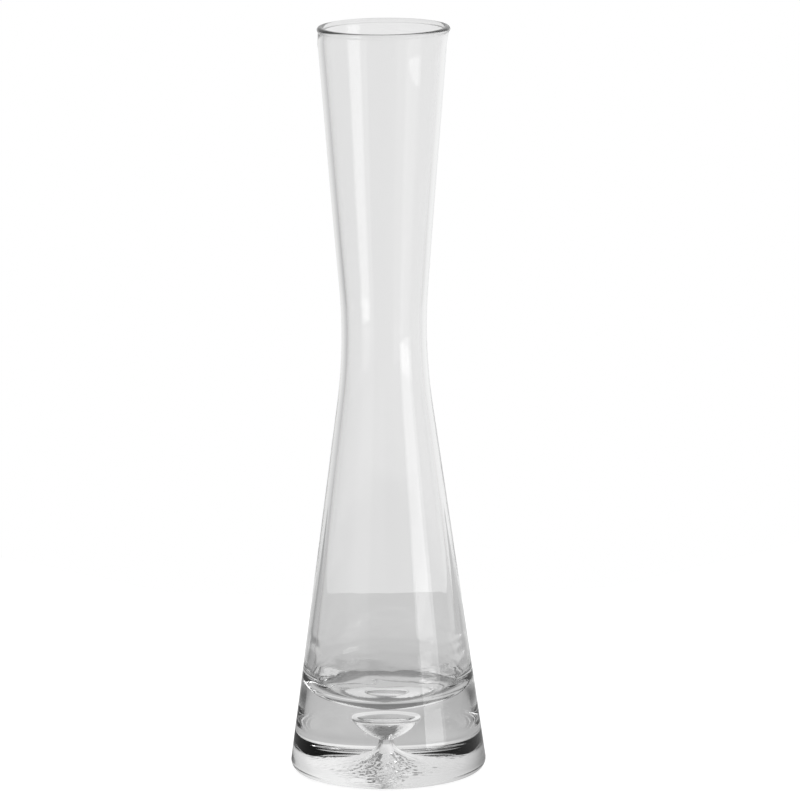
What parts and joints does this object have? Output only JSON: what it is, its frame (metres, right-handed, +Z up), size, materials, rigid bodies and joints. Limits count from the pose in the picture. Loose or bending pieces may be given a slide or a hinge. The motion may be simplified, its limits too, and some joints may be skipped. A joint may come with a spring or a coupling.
{
  "type": "bud vase",
  "caption": "Clear blown glass bud vase with a flared mouth, a narrow waist and a heavy solid base that traps a bowl-shaped air bubble above a dished underside.",
  "frame": {"origin": "centre of the flat ring that the vase stands on", "axes": "+Z up along the vase's axis of revolution, from the base to the mouth; X and Y are alike"},
  "size_m": [0.0648, 0.0648, 0.2488],
  "materials": {
    "clear_glass": "clear, fire polished"
  },
  "bodies": {
    "root": {"vessel": "clear_glass", "base": "clear_glass"}
  },
  "joints": []
}
